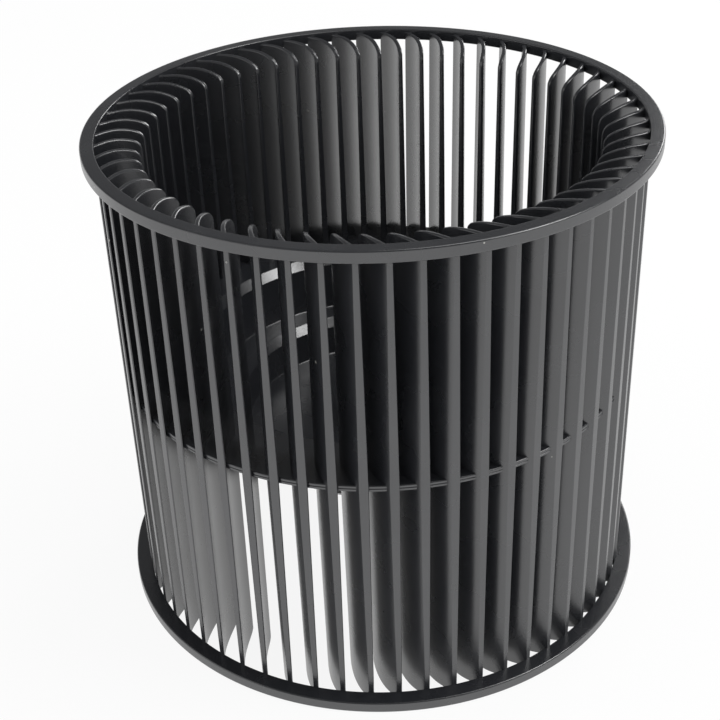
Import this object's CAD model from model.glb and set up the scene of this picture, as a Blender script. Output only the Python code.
import math

import bmesh
import bpy
from mathutils import Matrix, Vector


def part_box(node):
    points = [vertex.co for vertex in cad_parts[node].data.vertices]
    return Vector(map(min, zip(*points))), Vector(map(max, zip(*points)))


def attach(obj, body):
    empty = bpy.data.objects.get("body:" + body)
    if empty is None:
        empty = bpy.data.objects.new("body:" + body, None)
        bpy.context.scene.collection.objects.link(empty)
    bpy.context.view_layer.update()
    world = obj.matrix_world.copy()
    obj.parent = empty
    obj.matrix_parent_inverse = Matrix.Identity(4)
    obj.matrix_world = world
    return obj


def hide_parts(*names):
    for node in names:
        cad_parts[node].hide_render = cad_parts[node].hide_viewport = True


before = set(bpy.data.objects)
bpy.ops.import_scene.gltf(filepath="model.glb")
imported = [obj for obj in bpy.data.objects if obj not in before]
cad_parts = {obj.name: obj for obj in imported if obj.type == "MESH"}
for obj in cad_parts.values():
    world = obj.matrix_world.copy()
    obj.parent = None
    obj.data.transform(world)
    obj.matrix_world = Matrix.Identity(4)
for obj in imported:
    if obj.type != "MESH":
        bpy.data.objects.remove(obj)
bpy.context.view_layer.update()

mm = 0.001
mergeReach = 0.0001 * mm
lowest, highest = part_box("fan_wheel")


def rounded(points, radii, steps):  # an outline with an arc of its own radius at each corner
    outline = []
    count = len(points)
    for index, (corner, radius) in enumerate(zip(points, radii)):
        here = Vector(corner)
        if radius == 0:
            outline.append(here)
            continue
        back = (Vector(points[index - 1]) - here).normalized()
        ahead = (Vector(points[(index + 1) % count]) - here).normalized()
        half = back.angle(ahead) / 2
        reach = radius / math.tan(half)
        centre = here + (back + ahead).normalized() * radius / math.sin(half)
        start, end = here + back * reach - centre, here + ahead * reach - centre
        for step in range(steps + 1):
            outline.append(centre + start.lerp(end, step / steps).normalized() * radius)
    return outline


def newObject(name, points, faces):
    mesh = bpy.data.meshes.new(name)
    mesh.from_pydata([tuple(point) for point in points], [], faces)
    work = bmesh.new()
    work.from_mesh(mesh)
    bmesh.ops.remove_doubles(work, verts=work.verts, dist=mergeReach)
    bmesh.ops.recalc_face_normals(work, faces=work.faces)
    work.to_mesh(mesh)
    work.free()
    made = bpy.data.objects.new(name, mesh)
    bpy.context.scene.collection.objects.link(made)
    return made


def turned(name, outline, steps):  # a closed outline of (radius, height) turned about the wheel's axis
    points, faces = [], []
    count = len(outline)
    for step in range(steps):
        angle = 2 * math.pi * step / steps
        for radius, height in outline:
            points.append((radius * math.cos(angle), radius * math.sin(angle), height))
    for step in range(steps):
        here, after = step * count, (step + 1) % steps * count
        for index in range(count):
            following = (index + 1) % count
            faces.append((here + index, after + index, after + following, here + following))
    return newObject(name, points, faces)


class Wire:  # a node's output that can be reckoned with: each sign adds a Math node
    def __init__(self, bench, socket):
        self.bench, self.socket = bench, socket

    def reckon(self, operation, first, second=None):
        return self.bench.node("ShaderNodeMath", {"operation": operation}, {0: first, 1: second})

    def __add__(self, other):
        return self.reckon("ADD", self, other)

    def __sub__(self, other):
        return self.reckon("SUBTRACT", self, other)

    def __rsub__(self, other):
        return self.reckon("SUBTRACT", other, self)

    def __mul__(self, other):
        return self.reckon("MULTIPLY", self, other)

    def __truediv__(self, other):
        return self.reckon("DIVIDE", self, other)

    def __gt__(self, other):
        return self.reckon("GREATER_THAN", self, other)

    def __lt__(self, other):
        return self.reckon("LESS_THAN", self, other)

    __radd__, __rmul__ = __add__, __mul__


class Bench:  # a node tree with one way of adding a node
    def __init__(self, tree):
        self.tree = tree

    def node(self, kind, settings=None, sockets=None, output=0):
        made = self.tree.nodes.new(kind)
        for name, value in (settings or {}).items():
            setattr(made, name, value)
        for name, value in (sockets or {}).items():
            if isinstance(value, Wire):
                self.tree.links.new(value.socket, made.inputs[name])
            elif value is not None:
                made.inputs[name].default_value = value
        return Wire(self, made.outputs[output]) if made.outputs else made

    def ramp(self, value, low, high):  # 0 below low, 1 above high, straight between them
        return self.node("ShaderNodeMapRange", {"clamp": True}, {"Value": value, "From Min": low, "From Max": high})


# the camera stands at the photograph's angle
camera = {
    "distance": 391.76 * mm,  # from the middle of the wheel
    "elevation": 31.15,
    "pan": -0.751,
    "tilt": -0.653,
    "roll": -1.684,
    "lens": 68.55,
    "sensor": 36,
    "nearest": 0.01,
    "farthest": 20,
}


def makeCamera():
    data = bpy.data.cameras.new("camera")
    data.sensor_width, data.lens = camera["sensor"], camera["lens"]
    data.clip_start, data.clip_end = camera["nearest"], camera["farthest"]
    made = bpy.data.objects.new("camera", data)
    bpy.context.scene.collection.objects.link(made)
    rise = math.radians(camera["elevation"])
    middle = Vector((0, 0, (lowest[2] + highest[2]) / 2))
    place = middle + Vector((0, -math.cos(rise), math.sin(rise))) * camera["distance"]
    made.matrix_world = (
        Matrix.Translation(place)
        @ Matrix.Rotation(math.pi / 2 - rise, 4, "X")
        @ Matrix.Rotation(-math.radians(camera["pan"]), 4, "Y")
        @ Matrix.Rotation(math.radians(camera["tilt"]), 4, "X")
        @ Matrix.Rotation(math.radians(camera["roll"]), 4, "Z"))
    bpy.context.scene.camera = made


makeCamera()
print("camera placed")


# plain bands round both ends of the blades
rings = {
    "topRadius": 75.0 * mm,
    "footRadius": highest[0],
    "innerRadius": 71.4 * mm,
    "height": 3.2 * mm,
    "outerEase": 0.45 * mm,
    "innerEase": 0.3 * mm,
    "arcSteps": 4,
    "steps": 240,
}


def makeRing(name, radius, low):
    high = low + rings["height"]
    corners = [(rings["innerRadius"], low), (radius, low), (radius, high), (rings["innerRadius"], high)]
    eases = [rings["innerEase"], rings["outerEase"], rings["outerEase"], rings["innerEase"]]
    return turned(name, rounded(corners, eases, rings["arcSteps"]), rings["steps"])


topRing = makeRing("topRing", rings["topRadius"], highest[2] - rings["height"])
footRing = makeRing("footRing", rings["footRadius"], lowest[2])

# the disc between the blades, dished in two steps, with the hub in its middle
disc = {
    "level": 70.2 * mm,
    "thickness": 1.8 * mm,
    "rimRadius": 70.75 * mm,
    "rimEase": 0.35 * mm,
    "seamDepth": 0.25 * mm,
    "seamHeight": 0.3 * mm,
    "upperStep": 53.0 * mm,
    "lowerStep": 42.0 * mm,
    "bevel": 2.4 * mm,
    "bevelEase": 0.5 * mm,
    "crease": 0.6 * mm,
    "draft": 9.0,
    "shelf": 55.0 * mm,
    "floor": 44.0 * mm,
    "hubRadius": 9.5 * mm,
    "hubRise": 9.0 * mm,
    "hubDrop": 14.0 * mm,
    "hubRoot": 1.2 * mm,
    "hubEase": 0.4 * mm,
    "bore": 4.0 * mm,
    "boreEase": 0.6 * mm,
    "arcSteps": 5,
    "steps": 192,
}


def makeDisc():
    thick, bevel = disc["thickness"], disc["bevel"]
    lean = math.tan(math.radians(disc["draft"]))
    across = thick / math.cos(math.radians(disc["draft"])) - (thick - bevel) * lean
    high, low = disc["level"] + thick / 2, disc["level"] - thick / 2
    rim, seam = disc["rimRadius"], disc["seamHeight"] / 2
    upperWall, lowerWall = disc["upperStep"] - bevel, disc["lowerStep"] - bevel
    shelfWall = upperWall - (high - bevel - disc["shelf"]) * lean
    floorWall = lowerWall - (disc["shelf"] - bevel - disc["floor"]) * lean
    hubTop, hubFoot = disc["floor"] + disc["hubRise"], disc["floor"] - thick - disc["hubDrop"]
    hub, bore, ease = disc["hubRadius"], disc["bore"], disc["boreEase"]
    soft, crease = disc["bevelEase"], disc["crease"]
    profile = [
        # top face, from the rim inwards
        (rim, high, disc["rimEase"]),
        (disc["upperStep"], high, soft), (upperWall, high - bevel, soft), (shelfWall, disc["shelf"], crease),
        (disc["lowerStep"], disc["shelf"], soft), (lowerWall, disc["shelf"] - bevel, soft),
        (floorWall, disc["floor"], crease),
        (hub, disc["floor"], disc["hubRoot"]), (hub, hubTop, disc["hubEase"]),
        # bore
        (bore + ease, hubTop, 0), (bore, hubTop - ease, 0),
        (bore, hubFoot + ease, 0), (bore + ease, hubFoot, 0),
        # under face, back out to the rim
        (hub, hubFoot, disc["hubEase"]), (hub, disc["floor"] - thick, disc["hubRoot"]),
        (floorWall + across - bevel, disc["floor"] - thick, soft),
        (floorWall + across, disc["floor"] - thick + bevel, soft),
        (lowerWall + across, disc["shelf"] - thick, crease),
        (shelfWall + across - bevel, disc["shelf"] - thick, soft),
        (shelfWall + across, disc["shelf"] - thick + bevel, soft),
        (upperWall + across, low, crease),
        (rim, low, disc["rimEase"]),
        # the mould's parting line along the rim
        (rim, disc["level"] - seam, 0), (rim - disc["seamDepth"], disc["level"], 0),
        (rim, disc["level"] + seam, 0),
    ]
    corners = [(radius, height) for radius, height, _ in profile]
    eases = [ease for _, _, ease in profile]
    return turned("disc", rounded(corners, eases, disc["arcSteps"]), disc["steps"])


discPlate = makeDisc()
print("rings and disc turned")


# one curved blade, repeated round the axis
blade = {
    "count": 60,
    "bearing": 2.66,
    "tipRadius": 71.75 * mm,
    "inletRadius": 59.7 * mm,
    "camber": 23.0 * mm,
    "tipAngle": 43.0,
    "thickness": 1.95 * mm,
    "draft": 0.33,
    "inset": 0.8 * mm,
    "cornerStart": 69.0 * mm,
    "cornerRadius": 17.0 * mm,
    "noseTurn": 3.2 * mm,  # where the corner turns down into the upright nose
    "noseEase": 0.45 * mm,
    "edgeEase": 0.24 * mm,
    "endEase": 0.42 * mm,
    "endTurns": (0, 30, 60, 90),  # how far round an end's easing each row of points stands, in degrees
    "rows": (0.08, 0.3, 0.65),  # rows of points between an end and the disc
    "steps": 14,
    "arcSteps": 3,
    "leastArc": 0.02 * mm,
    "wander": 0.06,  # how far a blade may stand off its even place, in degrees
    "seed": 7,
    "sharpAngle": 32,
}


def bladeOutline(thickness, shrink):  # a level section, nose at the inlet circle and tip at the outer one
    sweep = math.radians(blade["tipAngle"])
    tip, camber = blade["tipRadius"], blade["camber"]
    centre = Vector((tip - camber * math.sin(sweep), camber * math.cos(sweep)))
    far = centre.length

    def crossing(reach, radius):
        along = (far * far + radius * radius - reach * reach) / (2 * far)
        off = math.sqrt(radius * radius - along * along)
        unit = centre / far
        return Vector((unit.x * along + unit.y * off, unit.y * along - unit.x * off))

    points, radii = [], []
    half, steps = thickness / 2 - shrink, blade["steps"]
    for side, order in ((half, 1), (-half, -1)):
        reach = camber + side
        nose = math.atan2(*(crossing(reach, blade["inletRadius"] + shrink) - centre).yx)
        outer = math.atan2(*(crossing(reach, tip - shrink) - centre).yx)
        for step in list(range(steps + 1))[::order]:
            angle = nose + (outer - nose) * step / steps
            points.append(centre + Vector((math.cos(angle), math.sin(angle))) * reach)
            ease = {0: blade["noseEase"], steps: blade["edgeEase"]}.get(step)
            radii.append(max(ease - shrink, blade["leastArc"]) if ease else 0)
    return rounded(points, radii, blade["arcSteps"])


def cornerDrop(radius):  # how far a blade's end has fallen away at a distance from the axis
    start, large, small = blade["cornerStart"], blade["cornerRadius"], blade["noseTurn"]
    across = start - blade["inletRadius"] - small
    touch = start - across * large / (large - small)  # where the large arc runs into the small one
    if radius > touch:
        return large - math.sqrt(large * large - max(start - radius, 0) ** 2)
    down = large - math.sqrt((large - small) ** 2 - across * across)
    reach = min(blade["inletRadius"] + small - radius, small)
    return down - math.sqrt(small * small - reach * reach)


def makeBlade():
    foot, head = lowest[2] + blade["inset"], highest[2] - blade["inset"]
    level, ease = disc["level"], blade["endEase"]
    turns = [math.radians(turn) for turn in blade["endTurns"]]
    depths = [(ease * (1 - math.cos(turn)), ease * (1 - math.sin(turn))) for turn in turns]
    levels = [(foot + depth, shrink) for depth, shrink in depths]
    levels += [(foot + (level - foot) * part, 0) for part in blade["rows"] + (1,)]
    levels += [(head - (head - level) * part, 0) for part in blade["rows"][::-1]]
    levels += [(head - depth, shrink) for depth, shrink in depths[::-1]]
    points, faces = [], []
    for height, shrink in levels:
        thickness = blade["thickness"] - 2 * abs(height - level) * math.tan(math.radians(blade["draft"]))
        for across, along in bladeOutline(thickness, shrink):
            drop = cornerDrop(math.hypot(across, along))
            pull = (height - level) / ((head if height > level else foot) - level)  # 0 at the disc, 1 at an end
            points.append((across, along, height - math.copysign(drop * pull, height - level)))
    count = len(points) // len(levels)
    for row in range(0, len(points) - count, count):
        for index in range(count):
            following = (index + 1) % count
            faces.append((row + index, row + following, row + count + following, row + count + index))
    for index in range(count // 2 - 1):  # each end is a band of faces across the blade
        across = (index, index + 1, count - 2 - index, count - 1 - index)
        faces.append(across[::-1])
        faces.append(tuple(len(points) - count + corner for corner in across))
    return newObject("blade", points, faces)


def wheelTree():  # blades round the axis, joined to the turned pieces in one closed skin
    tree = bpy.data.node_groups.new("bladeWheel", "GeometryNodeTree")
    face = tree.interface
    face.new_socket("Geometry", in_out="OUTPUT", socket_type="NodeSocketGeometry")
    face.new_socket("Geometry", in_out="INPUT", socket_type="NodeSocketGeometry")
    for name, kind in (("Blade Count", "Int"), ("First Bearing", "Float"), ("Wander", "Float"), ("Seed", "Int"),
                       ("Top Ring", "Object"), ("Foot Ring", "Object"), ("Disc", "Object"),
                       ("Plastic", "Material")):
        face.new_socket(name, in_out="INPUT", socket_type="NodeSocket" + kind)
    bench = Bench(tree)
    given = tree.nodes.new("NodeGroupInput").outputs
    count = Wire(bench, given["Blade Count"])
    places = bench.node("GeometryNodePoints", None, {"Count": count})
    index = bench.node("GeometryNodeInputIndex")
    wander = Wire(bench, given["Wander"])
    stray = bench.node("FunctionNodeRandomValue", {"data_type": "FLOAT"},
                       {2: wander * -1, 3: wander, "Seed": Wire(bench, given["Seed"])}, 1)
    bearing = (Wire(bench, given["First Bearing"]) + stray + index * 360 / count) * (math.pi / 180)
    turn = bench.node("ShaderNodeCombineXYZ", None, {"Z": bearing})
    blades = bench.node("GeometryNodeInstanceOnPoints", None,
                        {"Points": places, "Instance": Wire(bench, given["Geometry"]), "Rotation": turn})
    solidBlades = bench.node("GeometryNodeRealizeInstances", None, {"Geometry": blades})
    union = tree.nodes.new("GeometryNodeMeshBoolean")
    union.operation, union.solver = "UNION", "MANIFOLD"
    tree.links.new(solidBlades.socket, union.inputs["Mesh 2"])
    for name in ("Top Ring", "Foot Ring", "Disc"):
        turnedPiece = bench.node("GeometryNodeObjectInfo", {"transform_space": "RELATIVE"},
                                 {"Object": Wire(bench, given[name])}, "Geometry")
        tree.links.new(turnedPiece.socket, union.inputs["Mesh 2"])
    joined = bench.node("GeometryNodeRealizeInstances", None, {"Geometry": Wire(bench, union.outputs["Mesh"])})
    coated = bench.node("GeometryNodeSetMaterial", None,
                        {"Geometry": joined, "Material": Wire(bench, given["Plastic"])})
    tree.links.new(coated.socket, tree.nodes.new("NodeGroupOutput").inputs["Geometry"])
    return tree


# satin black plastic, a little greyed, with a few specks of dust
plastic = {
    "colour": (0.017, 0.018, 0.021, 1),
    "greyed": (0.036, 0.037, 0.041, 1),
    "dust": (0.55, 0.54, 0.50, 1),
    "roughness": 0.27,
    "roughSwing": 0.12,  # how far the roughness follows the cloud
    "index": 1.92,
    "cloudScale": 34,
    "cloudDetail": 4,
    "cloudRoughness": 0.6,
    "greyFrom": 0.45,
    "greyTo": 0.75,
    "greyShare": 0.45,
    "grainScale": 2600,
    "grainDetail": 2,
    "grainStrength": 0.12,
    "grainDepth": 0.1 * mm,
    "speckScale": 210,
    "speckChance": 0.1,  # the share of cells that hold a speck
    "speckSize": 0.09,  # the largest, as a share of its cell
    "speckCover": 0.7,
    "speckRough": 0.3,
}


def makePlastic():
    made = bpy.data.materials.new("blackPlastic")
    made.use_nodes = True
    bench = Bench(made.node_tree)
    shader = made.node_tree.nodes["Principled BSDF"]
    place = bench.node("ShaderNodeTexCoord", None, None, "Object")
    cloud = bench.node("ShaderNodeTexNoise", None,
                       {"Vector": place, "Scale": plastic["cloudScale"],
                        "Detail": plastic["cloudDetail"], "Roughness": plastic["cloudRoughness"]})
    grain = bench.node("ShaderNodeTexNoise", None,
                       {"Vector": place, "Scale": plastic["grainScale"], "Detail": plastic["grainDetail"]})
    greyed = bench.ramp(cloud, plastic["greyFrom"], plastic["greyTo"]) * plastic["greyShare"]

    cells = {"Vector": place, "Scale": plastic["speckScale"]}
    cell = bench.node("ShaderNodeTexVoronoi", {"feature": "F1"}, cells, "Distance")
    lot = bench.node("ShaderNodeTexVoronoi", {"feature": "F1"}, cells, "Color")
    chance = bench.node("ShaderNodeSeparateColor", None, {"Color": lot}, "Red")
    reach = bench.ramp(chance, 1 - plastic["speckChance"], 1) * plastic["speckSize"]
    speck = (cell < reach) * plastic["speckCover"]

    base = bench.node("ShaderNodeMix", {"data_type": "RGBA"},
                      {"Factor": greyed, "A": plastic["colour"], "B": plastic["greyed"]}, 2)
    dusty = bench.node("ShaderNodeMix", {"data_type": "RGBA"}, {"Factor": speck, "A": base, "B": plastic["dust"]}, 2)
    rough = plastic["roughness"] + (cloud - 0.5) * plastic["roughSwing"] + speck * plastic["speckRough"]
    bump = bench.node("ShaderNodeBump", None,
                      {"Strength": plastic["grainStrength"], "Distance": plastic["grainDepth"], "Height": grain})
    shader.inputs["IOR"].default_value = plastic["index"]
    for name, wire in (("Base Color", dusty), ("Roughness", rough), ("Normal", bump)):
        made.node_tree.links.new(wire.socket, shader.inputs[name])
    return made


def evaluated(item):  # the mesh that an object's modifiers make of it
    bpy.context.view_layer.update()
    mesh = bpy.data.meshes.new_from_object(item.evaluated_get(bpy.context.evaluated_depsgraph_get()))
    item.modifiers.clear()
    return mesh


def makeWheel():
    made = makeBlade()
    tree = wheelTree()
    modifier = made.modifiers.new("bladeWheel", "NODES")
    modifier.node_group = tree
    settings = {"Blade Count": blade["count"], "First Bearing": blade["bearing"], "Wander": blade["wander"],
                "Seed": blade["seed"], "Top Ring": topRing, "Foot Ring": footRing, "Disc": discPlate,
                "Plastic": makePlastic()}
    for item in tree.interface.items_tree:
        if item.in_out == "INPUT" and item.name in settings:
            modifier[item.identifier] = settings[item.name]
    mesh = evaluated(made)
    for piece in (topRing, footRing, discPlate):
        bpy.data.objects.remove(piece)
    mesh.shade_smooth()
    mesh.set_sharp_from_angle(angle=math.radians(blade["sharpAngle"]))
    made.data = mesh
    made.modifiers.new("evenNormals", "WEIGHTED_NORMAL").keep_sharp = True  # flat faces shade as flat
    made.data = evaluated(made)
    made.name = made.data.name = "fanWheel"
    return made


fanWheel = makeWheel()
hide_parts("fan_wheel")
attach(fanWheel, "root")
print("wheel joined:", len(fanWheel.data.vertices), "points,", len(fanWheel.data.polygons), "faces")


# a pale floor and a white backdrop
studio = {
    "floorRadius": 3.0,
    "floorSegments": 96,
    "floorDrop": 0.05 * mm,
    "floorColour": (0.82, 0.82, 0.82, 1),
    "floorLift": 0.9,  # the share of plain white in the floor as it is seen
    "white": (1, 1, 1, 1),
    "worldLight": 0.8,
    "backdropTop": 0.0,  # in reflections the white fades from this height, where 0 is level and 1 overhead
    "ceilingFrom": 0.25,  # to the ceiling at this one
    "ceiling": 0.12,
}


def seenRays(bench):  # the camera's own rays, those seen in gloss and those seen through something
    path = bench.tree.nodes.new("ShaderNodeLightPath").outputs
    return [Wire(bench, path[name]) for name in ("Is Camera Ray", "Is Glossy Ray", "Is Transmission Ray")]


def makeFloor():
    made = bpy.data.materials.new("paleFloor")
    made.use_nodes = True
    bench = Bench(made.node_tree)
    nodes = made.node_tree.nodes
    diffuse = bench.node("ShaderNodeBsdfDiffuse", None, {"Color": studio["floorColour"]})
    glow = bench.node("ShaderNodeEmission", None, {"Color": studio["white"], "Strength": 1})
    direct, gloss, through = seenRays(bench)
    seen = (direct + gloss + through) > 0.5
    mixed = bench.node("ShaderNodeMixShader", None, {0: seen * studio["floorLift"], 1: diffuse, 2: glow})
    made.node_tree.links.new(mixed.socket, nodes["Material Output"].inputs["Surface"])
    mesh = bpy.data.meshes.new("floor")
    work = bmesh.new()
    bmesh.ops.create_circle(work, cap_ends=True, segments=studio["floorSegments"], radius=studio["floorRadius"],
                            matrix=Matrix.Translation((0, 0, lowest[2] - studio["floorDrop"])))
    work.to_mesh(mesh)
    work.free()
    floor = bpy.data.objects.new("floor", mesh)
    bpy.context.scene.collection.objects.link(floor)
    mesh.materials.append(made)


def makeWorld():
    world = bpy.data.worlds.new("studio")
    bpy.context.scene.world = world
    world.use_nodes = True
    bench = Bench(world.node_tree)
    direct, gloss, through = seenRays(bench)
    way = bench.node("ShaderNodeTexCoord", None, None, "Generated")
    height = bench.node("ShaderNodeSeparateXYZ", None, {"Vector": way}, "Z")
    above = bench.ramp(height, studio["backdropTop"], studio["ceilingFrom"])  # the room over the backdrop
    inGloss = 1 - above * (1 - studio["ceiling"])
    strength = studio["worldLight"] + ((direct + through) > 0.5) * (1 - studio["worldLight"])
    strength = strength + (gloss > 0.5) * (inGloss - strength)
    world.node_tree.links.new(strength.socket, world.node_tree.nodes["Background"].inputs["Strength"])
    world.node_tree.nodes["Background"].inputs["Color"].default_value = studio["white"]


lamps = {
    "overhead": {"place": (0.3, 0.05, 1.05), "size": 0.4, "power": 1.6},
    "left": {"place": (-0.95, -0.35, 0.5), "size": 0.7, "power": 1.0},
    "right": {"place": (0.68, -0.15, 0.8), "size": 0.36, "power": 3.4},
    "back": {"place": (0.58, 1.0, 0.5), "size": 0.36, "power": 2.9},
}


def makeLamps():
    for name, lamp in lamps.items():
        data = bpy.data.lights.new(name, "AREA")
        data.shape, data.size, data.energy = "SQUARE", lamp["size"], lamp["power"]
        made = bpy.data.objects.new(name, data)
        bpy.context.scene.collection.objects.link(made)
        made.location = lamp["place"]
        made.rotation_mode = "QUATERNION"
        made.rotation_quaternion = (Vector((0, 0, highest[2] / 2)) - made.location).to_track_quat("-Z", "Y")


makeFloor()
makeWorld()
makeLamps()
bpy.context.scene.view_settings.view_transform = "Standard"
print("studio lit")

bpy.context.view_layer.update()
